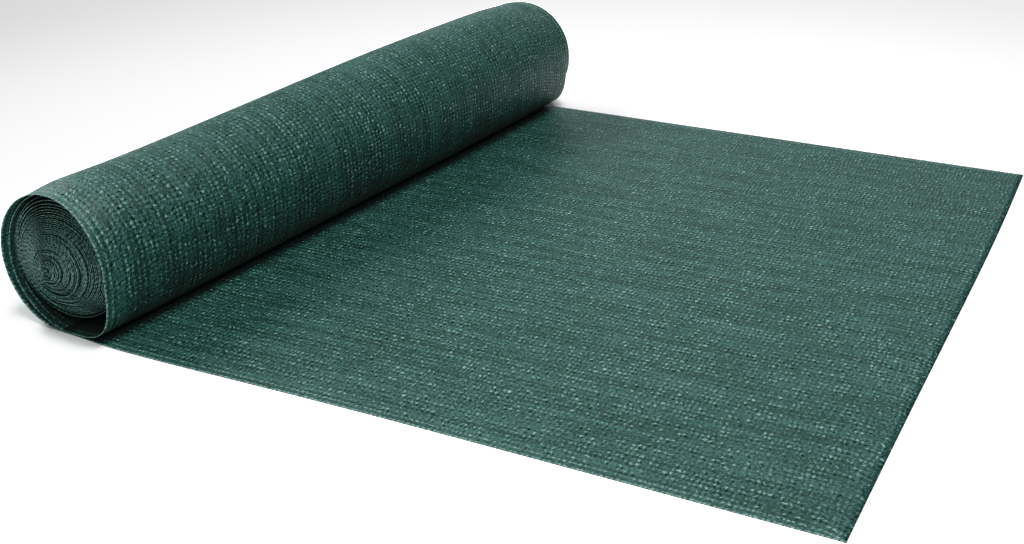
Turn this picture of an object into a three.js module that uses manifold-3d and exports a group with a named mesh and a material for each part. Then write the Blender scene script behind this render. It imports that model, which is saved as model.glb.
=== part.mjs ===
// A length of knitted shade netting on a flat floor, partly unrolled from its roll.
// The net is one piece of cloth. Its loose end lies flat towards +X, runs under the roll, comes up round
// the left side as one loose outer turn, tucks in under the right side and carries on as the wound turns.
// Units are millimetres, +Z is up and the roll lies roughly along Y, with its near end at the low Y side.
// The origin is the middle of the footprint, on the floor.
import * as THREE from 'three';
import Module from 'manifold-3d';

// The cloth
const NET_WIDTH = 1000;
const CLOTH_THICKNESS = 1.5;
const LAP = 0.15;

// The loose end, measured from the roll's near end where it touches the floor
const LOOSE_LENGTH = 835;
const CUT_BOW = 3.5;
const CUT_BOW_SKEW = 1.8;
const EDGE_BULGE = 6.5;
const EDGE_BULGE_AT = 85;
const EDGE_BULGE_REACH = { roll: 60, loose: 200 };

// The loose outer turn: its radius short of the near and the far end, how far each end is drawn in, how
// oval the near end is, and how far the upper right shoulder sags at the far end
const TURN_RADIUS = { near: 78, far: 85 };
const FULL_RADIUS_AT = 0.75;
const DRAWN_IN = { near: 2.5, far: 2 };
const DRAWN_IN_REACH = { near: 0.03, far: 0.06 };
const NEAR_OVAL = 0.022;
const NEAR_OVAL_REACH = 0.08;
const SHOULDER_DROP = 0.07;
const SHOULDER_ANGLE = -1.8 * Math.PI;
const SHOULDER_REACH = 0.66;
const ROLL_SKEW = 39;
const CREASE_FULLNESS = 3.7;

// The wound turns inside it: a level cone that rests on the cloth at its thick far end and stands clear of
// it at the near end. The cloth from the crease runs along the floor and rises into its underside.
const WOUND_HALF_WIDTH = { near: 65, far: 73 };
const WOUND_HALF_HEIGHT = { near: 61.3, far: 73 };
const WOUND_SIDE_SHIFT = { near: -2, far: 0 };
const WOUND_SEAT = { near: 12.3, far: 2.6 };
const TUCK_RUN = 28;
const TUCK_DEPTH = 6;
const WOUND_SET_BACK = 18;
const EYE_PUSHED_OUT = 12;
const EYE_SHIFT_X = -22;

// The main turns that show in the two end faces
const MAIN_TURNS = 6;
const TURN_SLIT = 1.3;
const SLIT_DEPTH = 11;
const EYE_RADIUS = 4;
const SLIT_END = 0.93;

// Mesh density, with the places of the loose cloth's sections as shares of the width
const SECTIONS = [0, 0.012, 0.03, 0.06, 0.12, 0.22, 0.34, 0.46, 0.58, 0.7, 0.82, 0.91, 0.96, 1];
const LOOSE_STEPS = 14;
const TUCK_STEPS = 6;
const TURN_STEPS = 54;
const CREASE_STEPS = 12;
const WOUND_STEPS = 60;
const WOUND_ACROSS_STEPS = 6;
const FACE_RINGS = 4;
const SLIT_STEPS_A_TURN = 16;

const HALF_WIDTH = NET_WIDTH / 2;
const HALF_THICKNESS = CLOTH_THICKNESS / 2;
const QUARTER = Math.PI / 2;
const FULL_TURN = Math.PI * 2;

const wasm = await Module();
wasm.setup();

const lerp = THREE.MathUtils.lerp;

// A value that changes evenly from the near end to the far end; v runs from 0 to 1 across the net.
function acrossNet(ends, v) {
  return lerp(ends.near, ends.far, v);
}

// The x of the roll's contact line with the floor.
function contactX(v) {
  return ROLL_SKEW * v;
}

// A bump of height 1 at the middle, falling away over the reach.
function bump(value, middle, reach) {
  return Math.exp(-(((value - middle) / reach) ** 2));
}

// Half width and half height of the loose outer turn's middle line at v.
function turnSize(v) {
  const grown = THREE.MathUtils.smoothstep(v, 0, FULL_RADIUS_AT);
  const drawnIn = DRAWN_IN.near * bump(v, 0, DRAWN_IN_REACH.near) + DRAWN_IN.far * bump(v, 1, DRAWN_IN_REACH.far);
  const radius = lerp(TURN_RADIUS.near, TURN_RADIUS.far, grown) - drawnIn - HALF_THICKNESS;
  const oval = NEAR_OVAL * bump(v, 0, NEAR_OVAL_REACH);
  return { x: radius * (1 - oval), z: radius * (1 + oval) };
}

// Middle line of the cloth in the loose outer turn: an oval whose lower right quarter is a fuller curve,
// |x|^n + |z|^n = 1, where the turn sags onto the loose end. The angle falls from -90 degrees, at the
// floor, through the left side and the top to the right side and the crease.
function outerTurnPoint(angle, v) {
  const size = turnSize(v);
  const centre = new THREE.Vector2(contactX(v), HALF_THICKNESS + size.z);
  const c = Math.cos(angle);
  const s = Math.sin(angle);
  const inCrease = angle < -FULL_TURN;
  if (inCrease) {
    const power = 2 / CREASE_FULLNESS;
    const drop = size.z - CLOTH_THICKNESS + LAP;
    return new THREE.Vector2(centre.x + size.x * Math.abs(c) ** power, centre.y - drop * Math.abs(s) ** power);
  }
  const sag = 1 - SHOULDER_DROP * v * bump(angle, SHOULDER_ANGLE, SHOULDER_REACH);
  return new THREE.Vector2(centre.x + sag * size.x * c, centre.y + sag * size.z * s);
}

// Middle line of the whole visible cloth at v, from the cut end to the tuck inside the wound turns.
function clothPath(v) {
  const points = [];
  const start = contactX(v);
  const cutEnd = LOOSE_LENGTH + CUT_BOW * Math.sin(Math.PI * v ** CUT_BOW_SKEW);
  for (let i = 0; i < LOOSE_STEPS; i += 1) {
    points.push(new THREE.Vector2(lerp(cutEnd, start, i / LOOSE_STEPS), HALF_THICKNESS));
  }
  for (let i = 0; i <= TURN_STEPS; i += 1) {
    const angle = -QUARTER - (FULL_TURN - QUARTER) * (i / TURN_STEPS);
    points.push(outerTurnPoint(angle, v));
  }
  for (let i = 1; i <= CREASE_STEPS; i += 1) {
    points.push(outerTurnPoint(-FULL_TURN - QUARTER * (i / CREASE_STEPS), v));
  }
  const last = points[points.length - 1];
  const rise = acrossNet(WOUND_SEAT, v) + TUCK_DEPTH;
  for (let i = 1; i <= TUCK_STEPS; i += 1) {
    const share = i / TUCK_STEPS;
    points.push(new THREE.Vector2(last.x - TUCK_RUN * share, last.y + rise * share ** 2));
  }
  return points;
}

// The two faces of a band, half a thickness to each side of its middle line.
function faces(path, halfThickness) {
  return path.map((point, i) => {
    const before = path[Math.max(i - 1, 0)];
    const after = path[Math.min(i + 1, path.length - 1)];
    const along = after.clone().sub(before).normalize();
    const side = new THREE.Vector2(-along.y, along.x).multiplyScalar(halfThickness);
    return { left: point.clone().add(side), right: point.clone().sub(side) };
  });
}

// Y of a point of the loose cloth. The near edge bulges a little where the net comes out of the roll.
function clothY(x, v) {
  const reach = x < EDGE_BULGE_AT ? EDGE_BULGE_REACH.roll : EDGE_BULGE_REACH.loose;
  const bulge = EDGE_BULGE * bump(x, EDGE_BULGE_AT, reach) * (1 - v) ** 2;
  return lerp(-HALF_WIDTH, HALF_WIDTH, v) - bulge;
}

// A closed solid from vertices and triangles.
function solid(vertices, triangles) {
  const mesh = new wasm.Mesh({
    numProp: 3,
    vertProperties: Float32Array.from(vertices.flatMap((p) => [p.x, p.y, p.z])),
    triVerts: Uint32Array.from(triangles.flat()),
  });
  return new wasm.Manifold(mesh);
}

// A band of cloth: rows[k][i] holds the left and right point at step i of the path in row k of the width.
function bandSolid(rows) {
  const steps = rows[0].length;
  const vertices = rows.flatMap((row) => row.flatMap((pair) => [pair.left, pair.right]));
  const left = (k, i) => 2 * (k * steps + i);
  const right = (k, i) => left(k, i) + 1;
  const triangles = [];
  const quad = (a, b, c, d) => triangles.push([a, b, c], [a, c, d]);
  for (let k = 0; k < rows.length - 1; k += 1) {
    for (let i = 0; i < steps - 1; i += 1) {
      quad(left(k, i), left(k, i + 1), left(k + 1, i + 1), left(k + 1, i));
      quad(right(k, i), right(k + 1, i), right(k + 1, i + 1), right(k, i + 1));
    }
    quad(left(k, 0), left(k + 1, 0), right(k + 1, 0), right(k, 0));
    quad(left(k, steps - 1), right(k, steps - 1), right(k + 1, steps - 1), left(k + 1, steps - 1));
  }
  const end = rows.length - 1;
  for (let i = 0; i < steps - 1; i += 1) {
    quad(left(0, i), right(0, i), right(0, i + 1), left(0, i + 1));
    quad(left(end, i), left(end, i + 1), right(end, i + 1), right(end, i));
  }
  return solid(vertices, triangles);
}

function looseCloth() {
  return bandSolid(SECTIONS.map((v) => {
    const place = (p) => new THREE.Vector3(p.x, clothY(p.x, v), p.y);
    return faces(clothPath(v), HALF_THICKNESS).map((pair) => (
      { left: place(pair.left), right: place(pair.right) }
    ));
  }));
}

// A point of the wound turns in the section at v. share is 0 at the eye and 1 at the outermost turn; the
// turns lie off centre, closer together on the left than on the right.
function woundPoint(share, angle, v) {
  const halfHeight = acrossNet(WOUND_HALF_HEIGHT, v);
  const centreX = contactX(v) + acrossNet(WOUND_SIDE_SHIFT, v) + EYE_SHIFT_X * (1 - share);
  const centreZ = acrossNet(WOUND_SEAT, v) + halfHeight;
  return new THREE.Vector2(
    centreX + share * acrossNet(WOUND_HALF_WIDTH, v) * Math.cos(angle),
    centreZ + share * halfHeight * Math.sin(angle),
  );
}

// All turns lie towards +Y of the outer turn, the inner ones less so, because they have slid along the roll.
function woundShift(share) {
  return WOUND_SET_BACK - EYE_PUSHED_OUT * (1 - share);
}

function woundVertex(share, angle, v) {
  const p = woundPoint(share, angle, v);
  return new THREE.Vector3(p.x, lerp(-HALF_WIDTH, HALF_WIDTH, v) + woundShift(share), p.y);
}

// The wound turns as one body: rings of points over the near face, along the side and over the far face.
function woundTurns() {
  const rings = [];
  for (let k = 1; k < FACE_RINGS; k += 1) rings.push({ share: k / FACE_RINGS, v: 0 });
  for (let k = 0; k <= WOUND_ACROSS_STEPS; k += 1) rings.push({ share: 1, v: k / WOUND_ACROSS_STEPS });
  for (let k = FACE_RINGS - 1; k > 0; k -= 1) rings.push({ share: k / FACE_RINGS, v: 1 });
  const vertices = [];
  for (const ring of rings) {
    for (let i = 0; i < WOUND_STEPS; i += 1) {
      vertices.push(woundVertex(ring.share, FULL_TURN * (i / WOUND_STEPS), ring.v));
    }
  }
  const nearEye = vertices.push(woundVertex(0, 0, 0)) - 1;
  const farEye = vertices.push(woundVertex(0, 0, 1)) - 1;
  const at = (k, i) => k * WOUND_STEPS + (i % WOUND_STEPS);
  const last = rings.length - 1;
  const triangles = [];
  for (let i = 0; i < WOUND_STEPS; i += 1) {
    triangles.push([nearEye, at(0, i), at(0, i + 1)]);
    triangles.push([farEye, at(last, i + 1), at(last, i)]);
    for (let k = 0; k < last; k += 1) {
      triangles.push([at(k, i), at(k + 1, i), at(k + 1, i + 1)]);
      triangles.push([at(k, i), at(k + 1, i + 1), at(k, i + 1)]);
    }
  }
  return solid(vertices, triangles);
}

// The slit between the main turns in one end face: a spiral band that reaches from outside the face to
// SLIT_DEPTH inside it. outwards is -1 at the near end and 1 at the far end.
function turnSlit(v, outwards) {
  const eyeShare = EYE_RADIUS / acrossNet(WOUND_HALF_WIDTH, v);
  const count = MAIN_TURNS * SLIT_STEPS_A_TURN;
  const shares = [];
  const path = [];
  for (let i = 0; i <= count; i += 1) {
    const share = lerp(eyeShare, SLIT_END, i / count);
    shares.push(share);
    path.push(woundPoint(share, FULL_TURN * MAIN_TURNS * (i / count), v));
  }
  const pairs = faces(path, TURN_SLIT / 2);
  const faceY = outwards * HALF_WIDTH;
  const depths = [outwards * SLIT_DEPTH, -outwards * SLIT_DEPTH];
  const rows = depths.sort((a, b) => a - b).map((depth) => pairs.map((pair, i) => {
    const y = faceY + woundShift(shares[i]) + depth;
    return {
      left: new THREE.Vector3(pair.left.x, y, pair.left.y),
      right: new THREE.Vector3(pair.right.x, y, pair.right.y),
    };
  }));
  return bandSolid(rows);
}

function shadeNet() {
  const whole = looseCloth().add(woundTurns()).subtract(turnSlit(0, -1)).subtract(turnSlit(1, 1));
  const mesh = whole.getMesh();
  const geometry = new THREE.BufferGeometry();
  geometry.setAttribute('position', new THREE.BufferAttribute(mesh.vertProperties, mesh.numProp));
  geometry.setIndex(new THREE.BufferAttribute(mesh.triVerts, 1));
  geometry.computeBoundingBox();
  const middle = geometry.boundingBox.getCenter(new THREE.Vector3());
  geometry.translate(-middle.x, -middle.y, -geometry.boundingBox.min.z);
  geometry.computeVertexNormals();
  return geometry;
}

const netMaterial = new THREE.MeshStandardMaterial({
  color: new THREE.Color(0x24544c),
  roughness: 0.72,
  metalness: 0,
  side: THREE.DoubleSide,
});

const net = new THREE.Mesh(shadeNet(), netMaterial);
net.name = 'shade_net';

const group = new THREE.Group();
group.add(net);

export default group;
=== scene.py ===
import math

import bpy
import numpy as np
from mathutils import Matrix, Vector


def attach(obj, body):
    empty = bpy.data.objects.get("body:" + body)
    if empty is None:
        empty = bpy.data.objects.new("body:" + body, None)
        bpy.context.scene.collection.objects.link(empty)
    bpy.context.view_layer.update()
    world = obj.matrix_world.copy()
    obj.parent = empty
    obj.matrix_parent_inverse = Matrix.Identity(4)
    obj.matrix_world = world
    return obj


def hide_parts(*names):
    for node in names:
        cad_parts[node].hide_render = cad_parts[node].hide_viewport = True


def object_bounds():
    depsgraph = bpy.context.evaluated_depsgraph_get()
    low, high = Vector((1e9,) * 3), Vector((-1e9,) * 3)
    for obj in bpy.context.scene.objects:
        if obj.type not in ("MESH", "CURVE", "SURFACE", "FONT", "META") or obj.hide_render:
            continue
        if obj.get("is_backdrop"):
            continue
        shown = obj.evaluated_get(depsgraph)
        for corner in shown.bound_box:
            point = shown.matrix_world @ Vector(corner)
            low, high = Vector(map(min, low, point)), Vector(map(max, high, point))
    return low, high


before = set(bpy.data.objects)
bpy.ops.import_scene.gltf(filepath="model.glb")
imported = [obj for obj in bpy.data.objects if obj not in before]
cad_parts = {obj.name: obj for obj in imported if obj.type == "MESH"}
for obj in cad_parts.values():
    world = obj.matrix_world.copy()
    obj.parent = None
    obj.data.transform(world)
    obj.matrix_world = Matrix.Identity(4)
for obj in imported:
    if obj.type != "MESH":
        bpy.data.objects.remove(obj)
box_low, box_high = (np.array(corner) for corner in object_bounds())

# The loose end and the outer turn
# One length of polyethylene net, warp knitted from flat tapes and thin threads. Its loose end lies flat,
# passes under the roll and comes up round its left side as a loose turn that tucks in at the lower right.
NET_WIDTH = 1.0
NET_THICKNESS = 0.0008
LOOSE_LENGTH = 0.835
WOUND_SET_BACK = 0.018

# The cut end bows out a little, more towards the far edge, and the near edge bulges beside the roll.
CUT_BOW = 0.0035
CUT_BOW_SKEW = 1.8
EDGE_BULGE = 0.0065
EDGE_BULGE_AT = 0.085
EDGE_BULGE_REACH_ROLL = 0.060
EDGE_BULGE_REACH_LOOSE = 0.200

# The outer turn grows along the roll, is drawn in at both ends and stands a little higher than wide at the
# near one. Its right shoulder sinks towards the far end, and its lower right quarter is full.
TURN_RADIUS_NEAR = 0.078
TURN_RADIUS_FAR = 0.085
FULL_RADIUS_AT = 0.75
DRAWN_IN_NEAR = 0.0025
DRAWN_IN_FAR = 0.002
DRAWN_IN_REACH_NEAR = 0.03
DRAWN_IN_REACH_FAR = 0.06
NEAR_OVAL = 0.022
NEAR_OVAL_REACH = 0.08
SHOULDER_DROP = 0.07
SHOULDER_ANGLE = -1.8 * math.pi
SHOULDER_REACH = 0.66
ROLL_SKEW = 0.039
CREASE_FULLNESS = 3.7
CREASE_LIFT = 1.2 * NET_THICKNESS

contact_x = box_high[0] - LOOSE_LENGTH - CUT_BOW
middle_y = box_high[1] - NET_WIDTH / 2 - WOUND_SET_BACK


def bump(value, middle, reach):
    """A hill of height 1 at the middle: e to the minus square of the distance over the reach."""
    return np.exp(-(((value - middle) / reach) ** 2))


def smooth_step(value, low, high):
    """Rises from 0 at low to 1 at high as 3t^2 - 2t^3."""
    t = np.clip((value - low) / (high - low), 0.0, 1.0)
    return t * t * (3.0 - 2.0 * t)


def turn_size(v):
    """Half width and half height of the outer turn at v, which runs from 0 at the near edge to 1 at the
    far edge: the radius grows along the roll, and both ends are drawn in."""
    grown = smooth_step(v, 0.0, FULL_RADIUS_AT)
    radius = TURN_RADIUS_NEAR + (TURN_RADIUS_FAR - TURN_RADIUS_NEAR) * grown
    radius = radius - DRAWN_IN_NEAR * bump(v, 0.0, DRAWN_IN_REACH_NEAR)
    radius = radius - DRAWN_IN_FAR * bump(v, 1.0, DRAWN_IN_REACH_FAR) - NET_THICKNESS / 2
    oval = NEAR_OVAL * bump(v, 0.0, NEAR_OVAL_REACH)
    return radius * (1.0 - oval), radius * (1.0 + oval)


def outer_turn(angle, v):
    """x and z of the outer turn. It is an oval about its centre, and its lower right quarter is the
    fuller curve |x|^n + |z|^n = 1. Seen from the near end, the angle falls from -90 degrees at the floor."""
    half_width, half_height = turn_size(v)
    c, s = np.cos(angle), np.sin(angle)
    centre_x = contact_x + ROLL_SKEW * v
    centre_z = NET_THICKNESS / 2 + half_height
    sag = 1.0 - SHOULDER_DROP * v * bump(angle, SHOULDER_ANGLE, SHOULDER_REACH)
    x = centre_x + sag * half_width * c
    z = centre_z + sag * half_height * s
    in_crease = angle < -2.0 * np.pi
    power = 2.0 / CREASE_FULLNESS
    fuller_x = centre_x + half_width * np.abs(c) ** power
    fuller_z = centre_z - (half_height - CREASE_LIFT) * np.abs(s) ** power
    return np.where(in_crease, fuller_x, x), np.where(in_crease, fuller_z, z)


CLOTH_MAP = "on_the_cloth"


def sheet_mesh(name, points, uv):
    """A grid of points joined by quads, with each point's place on the flat cloth, in metres, as its
    UV. Each quad joins a point, the next one along, the one beside that and the one beside the first."""
    steps, rows = points.shape[:2]
    index = np.arange(steps * rows).reshape(steps, rows)
    corners = (index[:-1, :-1], index[1:, :-1], index[1:, 1:], index[:-1, 1:])
    quads = np.stack(corners, axis=-1).reshape(-1, 4)
    mesh = bpy.data.meshes.new(name)
    mesh.from_pydata(points.reshape(-1, 3).tolist(), [], quads.tolist())
    layer = mesh.uv_layers.new(name=CLOTH_MAP)
    layer.data.foreach_set("uv", uv.reshape(-1, 2)[quads.ravel()].astype(np.float32).ravel())
    mesh.shade_smooth()
    piece = bpy.data.objects.new(name, mesh)
    bpy.context.scene.collection.objects.link(piece)
    return piece


def length_along(points):
    """Length from the first point of each line to every point, summed over the straight steps."""
    steps = np.linalg.norm(np.diff(points, axis=0), axis=-1)
    return np.concatenate([np.zeros((1,) + steps.shape[1:]), np.cumsum(steps, axis=0)])


LOOSE_STEPS = 96
TURN_STEPS = 100
CREASE_STEPS = 22
EDGE_ROWS = np.array([0.0, 0.0012, 0.003, 0.0055])
BODY_FROM = 0.009
BODY_ROWS = 150

body_rows = np.linspace(BODY_FROM, 1.0 - BODY_FROM, BODY_ROWS)
v = np.concatenate([EDGE_ROWS, body_rows, 1.0 - EDGE_ROWS[::-1]])[None, :]
cut_end = contact_x + LOOSE_LENGTH + CUT_BOW * np.sin(np.pi * v**CUT_BOW_SKEW)
roll_start = contact_x + ROLL_SKEW * v
loose_share = np.linspace(0.0, 1.0, LOOSE_STEPS, endpoint=False)[:, None]
loose_x = cut_end + (roll_start - cut_end) * loose_share
loose_z = np.full_like(loose_x, NET_THICKNESS / 2)
round_angles = np.linspace(-0.5 * np.pi, -2.0 * np.pi, TURN_STEPS, endpoint=False)
crease_angles = -2.0 * np.pi - 0.5 * np.pi * np.linspace(0.0, 1.0, CREASE_STEPS)
turn_x, turn_z = outer_turn(np.concatenate([round_angles, crease_angles])[:, None], v)
path_x = np.concatenate([loose_x, turn_x])
path_z = np.concatenate([loose_z, turn_z])
path_v = np.broadcast_to(v, path_x.shape)
from_contact = path_x - contact_x
bulge_reach = np.where(from_contact < EDGE_BULGE_AT, EDGE_BULGE_REACH_ROLL, EDGE_BULGE_REACH_LOOSE)
bulge = EDGE_BULGE * bump(from_contact, EDGE_BULGE_AT, bulge_reach) * (1.0 - path_v) ** 2
path_y = middle_y + NET_WIDTH * (path_v - 0.5) - bulge
loose_points = np.stack([path_x, path_y, path_z], axis=-1)
loose_uv = np.stack([length_along(loose_points), NET_WIDTH * path_v], axis=-1)
loose_length = float(loose_uv[-1, :, 0].mean())

loose_net = sheet_mesh("loose_net", loose_points, loose_uv)
wall = loose_net.modifiers.new("thickness", "SOLIDIFY")
wall.thickness = NET_THICKNESS
wall.offset = 0.0

# Chains of stitches run along the net, one every 7.6 mm. Flat tapes are laid in zigzags from chain to chain,
# and each long edge has a denser band with a rim of stitches.
# The stitch loops, the edge chain and the rim are coloured pale as painted glints.
CHAINS = 131
EDGE_CHAIN_IN = 0.0012
CHAIN_PITCH = (NET_WIDTH - 2 * EDGE_CHAIN_IN) / CHAINS
STITCH_PITCH = 0.00515
TAPE_COLOUR = (0.018, 0.058, 0.050, 1.0)
PALE_TAPE_COLOUR = (0.066, 0.170, 0.149, 1.0)
# Painted highlight: the loops' colour is the glint of light on them, far paler than the tapes.
LOOP_GLINT_COLOUR = (0.300, 0.475, 0.430, 1.0)
# Painted shade: the gaps between the yarns are coloured near black for the shaded floor seen through the
# holes.
GAP_SHADE_COLOUR = (0.005, 0.022, 0.018, 1.0)

# How far the knit strays from even rows, in chains and in stitches, with each noise's waves a metre. The
# edge holds the chains straight over the distances given, and the cut end pulls them aside.
WANDER_CHAINS = 1.6
WANDER_WAVES = 6.0
WANDER_BEGINS = (0.01, 0.08)
DRIFT_STITCHES = 2.4
DRIFT_WAVES = 14.0
CUT_PULLS_CHAINS = 1.2
CUT_PULL_FADES_BY = 75.0
UNEVEN_CHAINS = 0.7
UNEVEN_CHAIN_WAVES = 170.0
UNEVEN_CHAINS_BEGIN = (0.004, 0.02)
UNEVEN_STITCHES = 1.1
UNEVEN_STITCH_WAVES = (150.0, 190.0)

# How wide each yarn is: it covers the cloth up to the first distance from its middle, and none of it past
# the second. The distances are shares of a chain or a stitch, and metres for the two bands at the edge.
TAPE_COVERS = (0.20, 0.36)
THREAD_COVERS = (0.08, 0.20)
LOOP_COVERS_ACROSS = (0.10, 0.24)
LOOP_COVERS_ALONG = (0.08, 0.32)
STITCH_COVERS = (0.14, 0.44)
EDGE_BAND_COVERS = (0.0095, 0.0130)
RIM_COVERS = (0.0008, 0.0024)

# Waves a metre, along and across the net, of the noises that make it look hand laid and worn.
LIVELY_WAVES = (20.0, 45.0)
STREAK_WAVES = (7.0, 90.0)
PATCH_WAVES = (10.0, 22.0)
GRAIN_WAVES = (330.0, 430.0)

# How a noise or a distance is turned into a share: its low and high ends, and the share at each.
LIVELY_BY_NOISE = (0.34, 0.60, 0.45, 1.0)
PALE_BY_GRAIN = (0.27, 0.73, -1.0, 1.0)
PALE_BY_STREAK = (0.3, 0.7, -0.36, 0.46)
PALE_BY_PATCH = (0.3, 0.7, 0.05, 0.25)
# Painted shade: the tapes darken midway between two chains, in the hollow beside the raised chains.
SHADE_BETWEEN_CHAINS = (0.26, 0.46, 0.02, -0.25)
PALE_AT_EDGE = (0.0, 0.09, 0.15, 0.0)
GAP_OPEN_BY_CHANCE = (0.05, 0.9, 0.15, 1.0)
# How strongly each stitch carries its painted glint.
GLINT_BY_CHANCE = (0.28, 1.0, 0.08, 1.0)
RIM_BROKEN_BY_GRAIN = (0.3, 0.7, 0.3, 1.0)
RIM_BRIGHT_ALONG_STITCH = (0.15, 0.42, 1.1, 0.2)
EDGE_CHAIN_BRIGHT_BY_GRAIN = (0.3, 0.7, 0.1, 0.9)
ROUGHNESS_BY_BRIGHTNESS = (0.0, 1.0, 0.50, 0.35)
SPECULAR_BY_GAP = (0.0, 1.0, 0.8, 0.02)
PALE_BY_TAPE = 0.55
DULL_GAPS_STAY_OPEN = 0.4
DARK_BETWEEN_STITCHES = 0.30

# Heights of the yarns as shares of the relief, and the relief's depth in metres.
OVER_TAPE_HEIGHT = 0.55
UNDER_TAPE_HEIGHT = 0.4
THREAD_HEIGHT = 0.5
LOOP_ADDS_HEIGHT = 0.5
RELIEF_STRENGTH = 0.8
RELIEF_DEPTH = 0.0008


class Finish:
    """Short names for the nodes of one material. Every method but put adds nodes and gives the output
    back, and a value may be a number, a colour or the output of another node."""

    def __init__(self, name):
        self.material = bpy.data.materials.new(name)
        self.material.use_nodes = True
        self.nodes = self.material.node_tree.nodes
        self.links = self.material.node_tree.links
        self.shader = self.nodes["Principled BSDF"]

    def put(self, socket, value):
        """Links an output to the socket, or sets the socket to a number or colour."""
        if isinstance(value, bpy.types.NodeSocket):
            self.links.new(value, socket)
        else:
            socket.default_value = value

    def math(self, operation, *values):
        """One sum of Blender's Math node; MULTIPLY_ADD is the first times the second, plus the third."""
        node = self.nodes.new("ShaderNodeMath")
        node.operation = operation
        for socket, value in zip(node.inputs, values):
            self.put(socket, value)
        return node.outputs[0]

    def ramp(self, value, low, high, start=0.0, end=1.0):
        """Goes from start at low to end at high as 3t^2 - 2t^3."""
        node = self.nodes.new("ShaderNodeMapRange")
        node.interpolation_type = "SMOOTHSTEP"
        for socket, number in zip(node.inputs, (value, low, high, start, end)):
            self.put(socket, number)
        return node.outputs[0]

    def covers(self, distance, ends):
        """1 up to the first of the two ends and 0 past the second."""
        return self.ramp(distance, *ends, 1.0, 0.0)

    def mix(self, share, first, second):
        """A colour between two. The node's sockets 6 and 7 are its two colours."""
        node = self.nodes.new("ShaderNodeMix")
        node.data_type = "RGBA"
        self.put(node.inputs[0], share)
        self.put(node.inputs[6], first)
        self.put(node.inputs[7], second)
        return node.outputs[2]

    def mix_value(self, share, first, second):
        """A number between two. The node's sockets 2 and 3 are its two numbers."""
        node = self.nodes.new("ShaderNodeMix")
        self.put(node.inputs[0], share)
        self.put(node.inputs[2], first)
        self.put(node.inputs[3], second)
        return node.outputs[0]

    def noise(self, place, waves, detail=2.0):
        """Soft noise about 0.5, with as many waves a metre along the net as across it."""
        node = self.nodes.new("ShaderNodeTexNoise")
        node.noise_dimensions = "2D"
        self.links.new(place, node.inputs["Vector"])
        node.inputs["Scale"].default_value = waves
        node.inputs["Detail"].default_value = detail
        return node.outputs["Fac"]

    def stretched_noise(self, place, waves, detail):
        """Soft noise about 0.5 with its own waves a metre along and across the net."""
        node = self.nodes.new("ShaderNodeVectorMath")
        node.operation = "MULTIPLY"
        self.links.new(place, node.inputs[0])
        node.inputs[1].default_value = (*waves, 1.0)
        return self.noise(node.outputs[0], 1.0, detail)

    def chance(self, along, across):
        """A number between 0 and 1 that belongs to one whole place along and across the net."""
        pair = self.nodes.new("ShaderNodeCombineXYZ")
        self.put(pair.inputs[0], along)
        self.put(pair.inputs[1], across)
        node = self.nodes.new("ShaderNodeTexWhiteNoise")
        node.noise_dimensions = "2D"
        self.links.new(pair.outputs[0], node.inputs["Vector"])
        return node.outputs["Value"]


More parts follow.
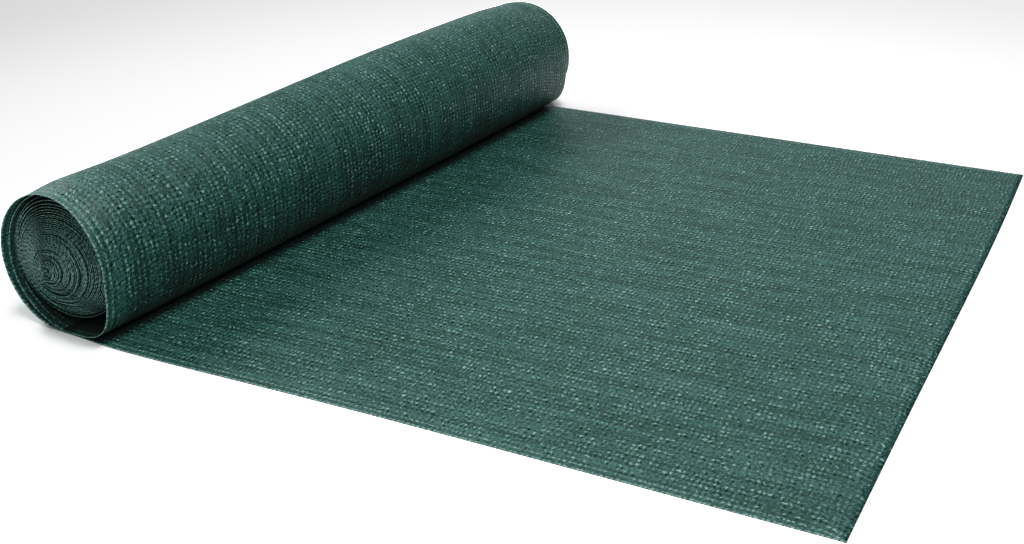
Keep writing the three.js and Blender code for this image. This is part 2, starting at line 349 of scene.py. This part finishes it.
def knit_material(name):
    """Chains, tapes and gaps from the cloth's own coordinates, u along the net and v across it, in
    metres. Both are counted in chains and stitches, and the rest of each count says how near a yarn is."""
    k = Finish(name)
    cloth = k.nodes.new("ShaderNodeUVMap")
    cloth.uv_map = CLOTH_MAP
    place = cloth.outputs["UV"]
    split = k.nodes.new("ShaderNodeSeparateXYZ")
    k.links.new(place, split.inputs[0])
    u, v = split.outputs[0], split.outputs[1]
    from_edge = k.math("MINIMUM", v, k.math("SUBTRACT", NET_WIDTH, v))

    # Where a place lies, in chains across and stitches along
    wander = k.math("SUBTRACT", k.noise(place, WANDER_WAVES), 0.5)
    wander = k.math("MULTIPLY", wander, k.ramp(from_edge, *WANDER_BEGINS, 0.0, WANDER_CHAINS))
    drift = k.math("SUBTRACT", k.noise(place, DRIFT_WAVES), 0.5)
    drift = k.math("MULTIPLY", drift, DRIFT_STITCHES)
    pulled = k.math("EXPONENT", k.math("MULTIPLY", u, -CUT_PULL_FADES_BY))
    pulled = k.math("MULTIPLY", pulled, CUT_PULLS_CHAINS)
    across = k.math("MULTIPLY_ADD", v, 1.0 / CHAIN_PITCH, 0.5 - EDGE_CHAIN_IN / CHAIN_PITCH)
    across = k.math("ADD", k.math("ADD", across, wander), pulled)
    along = k.math("MULTIPLY_ADD", u, 1.0 / STITCH_PITCH, drift)
    strays = k.noise(place, UNEVEN_CHAIN_WAVES, 1.0)
    strays = k.math("MULTIPLY_ADD", strays, UNEVEN_CHAINS, -UNEVEN_CHAINS / 2)
    across = k.math("ADD", across, k.math("MULTIPLY", strays, k.ramp(from_edge, *UNEVEN_CHAINS_BEGIN)))
    lags = k.stretched_noise(place, UNEVEN_STITCH_WAVES, 1.0)
    lags = k.math("MULTIPLY_ADD", lags, UNEVEN_STITCHES, -UNEVEN_STITCHES / 2)
    along = k.math("ADD", along, lags)
    chain = k.math("FLOOR", across)
    in_chain = k.math("SUBTRACT", k.math("FRACT", across), 0.5)
    off_chain = k.math("ABSOLUTE", in_chain)
    stitch = k.math("FLOOR", along)
    off_loop = k.math("ABSOLUTE", k.math("SUBTRACT", k.math("FRACT", along), 0.5))

    def tape(lean, seed):
        """A flat tape that leans by one stitch from chain to chain: where it lies, and how pale it is."""
        course = k.math("ADD", k.math("MULTIPLY_ADD", in_chain, lean, along), 0.5)
        off_tape = k.math("ABSOLUTE", k.math("SUBTRACT", k.math("FRACT", course), 0.5))
        pale = k.chance(k.math("FLOOR", course), k.math("ADD", chain, seed))
        return k.covers(off_tape, TAPE_COVERS), pale

    # Which yarn covers a place
    over, over_pale = tape(1.0, 0.3)
    under, under_pale = tape(-1.0, 0.7)
    thread = k.covers(off_chain, THREAD_COVERS)
    loop_across = k.covers(off_chain, LOOP_COVERS_ACROSS)
    loop = k.math("MULTIPLY", loop_across, k.covers(off_loop, LOOP_COVERS_ALONG))
    edge_band = k.covers(from_edge, EDGE_BAND_COVERS)
    rim = k.covers(from_edge, RIM_COVERS)

    # The tapes, paler and darker in streaks and patches, with painted shade midway between the chains, and
    # the gaps between them, painted near black as shade seen through the holes
    lively = k.ramp(k.stretched_noise(place, LIVELY_WAVES, 2.0), *LIVELY_BY_NOISE)
    streak = k.stretched_noise(place, STREAK_WAVES, 3.0)
    patch = k.stretched_noise(place, PATCH_WAVES, 3.0)
    grain = k.stretched_noise(place, GRAIN_WAVES, 2.0)
    pale = k.math("MULTIPLY", k.mix_value(over, under_pale, over_pale), PALE_BY_TAPE)
    pale = k.math("ADD", pale, k.ramp(grain, *PALE_BY_GRAIN))
    pale = k.math("ADD", pale, k.ramp(streak, *PALE_BY_STREAK))
    pale = k.math("ADD", pale, k.ramp(patch, *PALE_BY_PATCH))
    # Painted shade midway between the chains.
    pale = k.math("ADD", pale, k.ramp(off_chain, *SHADE_BETWEEN_CHAINS))
    pale = k.math("ADD", pale, k.ramp(from_edge, *PALE_AT_EDGE))
    colour = k.mix(pale, TAPE_COLOUR, PALE_TAPE_COLOUR)
    # Painted shade in the holes: where no yarn covers the net, the colour goes towards the near-black gap
    # shade, more in some holes than in others.
    gap_row = k.math("FLOOR", k.math("ADD", across, 0.5))
    gap_place = k.math("FLOOR", k.math("ADD", along, 0.5))
    open_share = k.ramp(k.chance(gap_place, gap_row), *GAP_OPEN_BY_CHANCE)
    lively_gaps = k.math("MULTIPLY_ADD", lively, 1.0 - DULL_GAPS_STAY_OPEN, DULL_GAPS_STAY_OPEN)
    open_share = k.math("MULTIPLY", open_share, lively_gaps)
    covered = k.math("MAXIMUM", k.math("MAXIMUM", over, under), thread)
    gap = k.math("MULTIPLY", k.math("SUBTRACT", 1.0, covered), open_share)
    gap = k.math("MULTIPLY", gap, k.math("SUBTRACT", 1.0, edge_band))
    colour = k.mix(gap, colour, GAP_SHADE_COLOUR)
    between = k.math("SUBTRACT", 1.0, k.covers(off_loop, STITCH_COVERS))
    colour = k.mix(k.math("MULTIPLY", between, DARK_BETWEEN_STITCHES), colour, TAPE_COLOUR)

    # Painted glints: the loops of the stitches, and the chain and rim of each long edge, are coloured pale
    # at random from stitch to stitch, as highlights where they catch the light
    glint_strength = k.ramp(k.chance(stitch, chain), *GLINT_BY_CHANCE)
    glint = k.math("MULTIPLY", k.math("MULTIPLY", loop, glint_strength), lively)
    rim_stitch = k.ramp(off_loop, *RIM_BRIGHT_ALONG_STITCH)
    rim_stitch = k.math("MULTIPLY", rim_stitch, k.ramp(grain, *RIM_BROKEN_BY_GRAIN))
    edge_chain = k.math("MULTIPLY", k.math("MULTIPLY", thread, edge_band), rim_stitch)
    edge_chain = k.math("MULTIPLY", edge_chain, k.ramp(grain, *EDGE_CHAIN_BRIGHT_BY_GRAIN))
    glint = k.math("MAXIMUM", glint, edge_chain)
    glint = k.math("MAXIMUM", glint, k.math("MULTIPLY", rim, rim_stitch))
    colour = k.mix(glint, colour, LOOP_GLINT_COLOUR)

    # The relief: tapes, then the thread and its loops over them
    over_height = k.math("MULTIPLY", over, OVER_TAPE_HEIGHT)
    height = k.math("MAXIMUM", over_height, k.math("MULTIPLY", under, UNDER_TAPE_HEIGHT))
    thread_height = k.math("MULTIPLY", thread, THREAD_HEIGHT)
    chain_height = k.math("MULTIPLY_ADD", loop, LOOP_ADDS_HEIGHT, thread_height)
    height = k.math("MAXIMUM", height, chain_height)
    relief = k.nodes.new("ShaderNodeBump")
    relief.inputs["Strength"].default_value = RELIEF_STRENGTH
    relief.inputs["Distance"].default_value = RELIEF_DEPTH
    k.links.new(height, relief.inputs["Height"])

    k.put(k.shader.inputs["Base Color"], colour)
    k.put(k.shader.inputs["Roughness"], k.ramp(glint, *ROUGHNESS_BY_BRIGHTNESS))
    k.put(k.shader.inputs["Normal"], relief.outputs["Normal"])
    k.put(k.shader.inputs["Specular IOR Level"], k.ramp(gap, *SPECULAR_BY_GAP))
    return k.material


net_finish = knit_material("knitted_net")
loose_net.data.materials.append(net_finish)
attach(loose_net, "root")
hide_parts("shade_net")

# The wound turns
# The rest of the same length of net, wound without a core into about forty loose turns. They have slid
# along the roll, back from its near end and out at its far end, and rest inside the outer turn.
TURNS = 42
STEPS_A_TURN = 48
WOUND_THICKNESS = 0.0007
WOUND_HALF_WIDTH_NEAR = 0.0650
WOUND_HALF_WIDTH_FAR = 0.0728
WOUND_HALF_HEIGHT_NEAR = 0.0613
WOUND_HALF_HEIGHT_FAR = 0.0728
WOUND_SIDE_SHIFT_NEAR = -0.002
WOUND_SEAT_NEAR = 0.0123
WOUND_SEAT_FAR = 0.0030

# The first turn carries on from the tuck, and the next few hang in the outer turn's round upper part. Both
# die away as e to the minus turns over a number of turns.
TUCK_SEAT = 0.0020
TUCK_FOLLOWS_FOR = 0.45
FIRST_TURNS_LOOSE_FOR = 3.5
LOOSE_AFTER_TURNS = 0.25
LOOSE_ABOVE_SINE = (-0.6, 0.4)

# The eye is the small opening in the innermost turn. It lies left of and below the roll's middle, and the
# inner turns are pushed out towards the near end.
EYE_SHARE = 0.035
EYE_PUSHED_OUT = 0.012
EYE_SHIFT_X = -0.021
EYE_DROP = 0.014

# Each turn has slid a little on its own, leans to a side and is wavy along its edge.
SET_BACK_WITHIN_TURNS = 0.35
UNEVEN_BETWEEN_TURNS = (0.1, 1.0)
TURN_SLIDES = 0.0013
TURN_LEANS = 0.0009
EDGE_WAVES = 0.0004
EDGE_WAVES_A_TURN = 5.0
END_ROWS = np.array([0.0, 0.0015, 0.004, 0.009, 0.018, 0.035, 0.07, 0.14])
MIDDLE_ROWS = np.array([0.32, 0.5, 0.68])

v = np.concatenate([END_ROWS, MIDDLE_ROWS, 1.0 - END_ROWS[::-1]])[None, :]
turn = np.linspace(0.0, TURNS, TURNS * STEPS_A_TURN + 1)[:, None]
share = 1.0 - (1.0 - EYE_SHARE) * turn / TURNS
angle = -0.5 * np.pi - 2.0 * np.pi * turn
half_width = WOUND_HALF_WIDTH_NEAR + (WOUND_HALF_WIDTH_FAR - WOUND_HALF_WIDTH_NEAR) * v
half_height = WOUND_HALF_HEIGHT_NEAR + (WOUND_HALF_HEIGHT_FAR - WOUND_HALF_HEIGHT_NEAR) * v
seat = WOUND_SEAT_NEAR + (WOUND_SEAT_FAR - WOUND_SEAT_NEAR) * v
follows = np.exp(-turn / TUCK_FOLLOWS_FOR)
roll_x = contact_x + ROLL_SKEW * v
centre_x = roll_x + WOUND_SIDE_SHIFT_NEAR * (1.0 - v) + EYE_SHIFT_X * (1.0 - share)
low_z = (seat - TUCK_SEAT) * follows
wound_x = centre_x + share * half_width * np.cos(angle)
wound_z = seat + half_height * (1.0 + share * np.sin(angle)) - low_z * (1.0 - np.sin(angle)) / 2.0
wound_z = wound_z - EYE_DROP * (1.0 - share)
outer_width, outer_height = turn_size(v)
still_loose = np.exp(-turn / FIRST_TURNS_LOOSE_FOR) * smooth_step(turn, 0.0, LOOSE_AFTER_TURNS)
wound_x = wound_x + still_loose * (roll_x + outer_width * np.cos(angle) - wound_x)
outer_z = NET_THICKNESS / 2 + outer_height * (1.0 + np.sin(angle))
wound_z = wound_z + still_loose * (outer_z - wound_z) * smooth_step(np.sin(angle), *LOOSE_ABOVE_SINE)
set_back = WOUND_SET_BACK * (1.0 - np.exp(-turn / SET_BACK_WITHIN_TURNS))
slid = set_back - EYE_PUSHED_OUT * (1.0 - share)
rng = np.random.default_rng(7)
per_turn = rng.normal(0.0, 1.0, (TURNS + 3, 6))


def along_turns(table, turn):
    """Each turn's own value, blended evenly from one turn to the next."""
    whole = np.floor(turn).astype(int)
    part = turn - whole
    return table[whole] * (1.0 - part) + table[whole + 1] * part


uneven = TURN_SLIDES * along_turns(per_turn[:, 0], turn)
uneven = uneven + TURN_LEANS * along_turns(per_turn[:, 1], turn) * np.sin(angle)
uneven = uneven + TURN_LEANS * along_turns(per_turn[:, 2], turn) * np.cos(angle)
waves = np.sin(EDGE_WAVES_A_TURN * angle + per_turn[0, 4])
uneven = uneven + EDGE_WAVES * along_turns(per_turn[:, 3], turn) * waves
slid = slid + uneven * smooth_step(turn, *UNEVEN_BETWEEN_TURNS)
wound_y = middle_y + NET_WIDTH * (v - 0.5) + slid
wound_points = np.stack([wound_x, np.broadcast_to(wound_y, wound_x.shape), wound_z], axis=-1)
wound_v = np.broadcast_to(NET_WIDTH * v, wound_x.shape)
wound_along = length_along(wound_points)
wound_uv = np.stack([wound_along + loose_length, wound_v], axis=-1)

wound_net = sheet_mesh("wound_net", wound_points, wound_uv)
wall = wound_net.modifiers.new("thickness", "SOLIDIFY")
wall.thickness = WOUND_THICKNESS
wall.offset = 0.0

wound_net.data.materials.append(net_finish)
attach(wound_net, "root")
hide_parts("shade_net")

# The floor
# A pale plain floor on which the net lies. Past the lit middle it carries on as the same white ground,
# which only the camera sees, so that it adds no light.
FLOOR_SIZE = 30.0
FLOOR_COLOUR = (0.9, 0.9, 0.9, 1.0)
FLOOR_ROUGHNESS = 0.9
WHITE_GROUND_FROM = 0.75
WHITE_GROUND_WHOLE_AT = 1.9
WHITE = (1.0, 1.0, 1.0, 1.0)

floor_mesh = bpy.data.meshes.new("floor")
half = FLOOR_SIZE / 2
floor_corners = [(-half, -half, 0.0), (half, -half, 0.0), (half, half, 0.0), (-half, half, 0.0)]
floor_mesh.from_pydata(floor_corners, [], [(0, 1, 2, 3)])
floor = bpy.data.objects.new("floor", floor_mesh)
bpy.context.scene.collection.objects.link(floor)

ground = Finish("pale_floor")
ground_place = ground.nodes.new("ShaderNodeTexCoord")
from_middle = ground.nodes.new("ShaderNodeVectorMath")
from_middle.operation = "LENGTH"
ground.links.new(ground_place.outputs["Object"], from_middle.inputs[0])
far_off = ground.ramp(from_middle.outputs["Value"], WHITE_GROUND_FROM, WHITE_GROUND_WHOLE_AT)
seen_directly = ground.nodes.new("ShaderNodeLightPath").outputs["Is Camera Ray"]
ground.put(ground.shader.inputs["Emission Strength"], ground.math("MULTIPLY", far_off, seen_directly))
ground.put(ground.shader.inputs["Emission Color"], WHITE)
ground.put(ground.shader.inputs["Base Color"], FLOOR_COLOUR)
ground.put(ground.shader.inputs["Roughness"], FLOOR_ROUGHNESS)
floor_mesh.materials.append(ground.material)
floor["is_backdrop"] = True

# The lights
# Large soft studio lights round the net, and a weak even light from all sides. The camera sees the ground
# behind the net as plain white.
LIGHT_DISTANCE = 3.0
LIGHT_SIZE = 1.5
WORLD_LIGHT = 0.04


def soft_light(name, azimuth, elevation, power):
    """A round area light at an azimuth and an elevation in degrees, turned to face the net, with its
    power in watts."""
    data = bpy.data.lights.new(name, "AREA")
    data.shape = "DISK"
    data.size = LIGHT_SIZE
    data.energy = power
    lamp = bpy.data.objects.new(name, data)
    a, e = math.radians(azimuth), math.radians(elevation)
    direction = Vector((math.cos(e) * math.cos(a), math.cos(e) * math.sin(a), math.sin(e)))
    lamp.location = LIGHT_DISTANCE * direction
    lamp.rotation_euler = direction.to_track_quat("Z", "Y").to_euler()
    bpy.context.scene.collection.objects.link(lamp)


soft_light("top_light", 0.0, 80.0, 44.0)
soft_light("left_light", 180.0, 37.0, 50.0)
soft_light("right_light", 315.0, 52.0, 26.0)
soft_light("front_light", 285.0, 20.0, 5.0)
soft_light("back_light", 90.0, 20.0, 3.0)
soft_light("back_left_light", 116.0, 13.0, 3.4)

world = bpy.data.worlds.new("studio")
world.use_nodes = True
sky = world.node_tree.nodes["Background"]
seen = world.node_tree.nodes.new("ShaderNodeLightPath")
sky_light = world.node_tree.nodes.new("ShaderNodeMapRange")
world.node_tree.links.new(seen.outputs["Is Camera Ray"], sky_light.inputs["Value"])
sky_light.inputs["To Min"].default_value = WORLD_LIGHT
world.node_tree.links.new(sky_light.outputs["Result"], sky.inputs["Strength"])
sky.inputs["Color"].default_value = WHITE
bpy.context.scene.world = world

# The camera
# It stands to the right of the roll's near end, a little above the loose cloth, and looks along the roll.
VIEW_PLACE = (0.6188, -1.4238, 0.6238)
VIEW_AZIMUTH = math.radians(26.96)
VIEW_ELEVATION = math.radians(23.49)
VIEW_ROLL = math.radians(0.21)
FOCAL_PIXELS = 1333.9
PICTURE_WIDTH_PIXELS = 1024
FILM_WIDTH_MM = 36.0
SEES_FROM = 0.05

camera_data = bpy.data.cameras.new("camera")
camera_data.sensor_width = FILM_WIDTH_MM
camera_data.lens = FILM_WIDTH_MM * FOCAL_PIXELS / PICTURE_WIDTH_PIXELS
camera_data.clip_start = SEES_FROM
camera = bpy.data.objects.new("camera", camera_data)
camera.matrix_world = (
    Matrix.Translation(VIEW_PLACE)
    @ Matrix.Rotation(VIEW_AZIMUTH, 4, "Z")
    @ Matrix.Rotation(math.pi / 2 - VIEW_ELEVATION, 4, "X")
    @ Matrix.Rotation(VIEW_ROLL, 4, "Z")
)
bpy.context.scene.collection.objects.link(camera)
bpy.context.scene.camera = camera

# The picture's contrast
# The net's shadows are deep and its ground is white, so the picture is developed hard: the dark tones
# fall, and all that is lighter than the last point turns white. A point is a tone and what it becomes.
TONE_CURVE = (
    (0.0, 0.0),
    (0.003, 0.0021),
    (0.01, 0.0042),
    (0.02, 0.0068),
    (0.035, 0.0140),
    (0.05, 0.0262),
    (0.1, 0.078),
    (0.2, 0.2),
    (0.4, 0.45),
    (0.72, 1.0),
)
ALL_COLOURS_CURVE = 3

view = bpy.context.scene.view_settings
view.view_transform = "Standard"
view.use_curve_mapping = True
curve = view.curve_mapping.curves[ALL_COLOURS_CURVE]
for tone, becomes in TONE_CURVE[1:]:
    curve.points.new(tone, becomes)
view.curve_mapping.update()

bpy.context.view_layer.update()
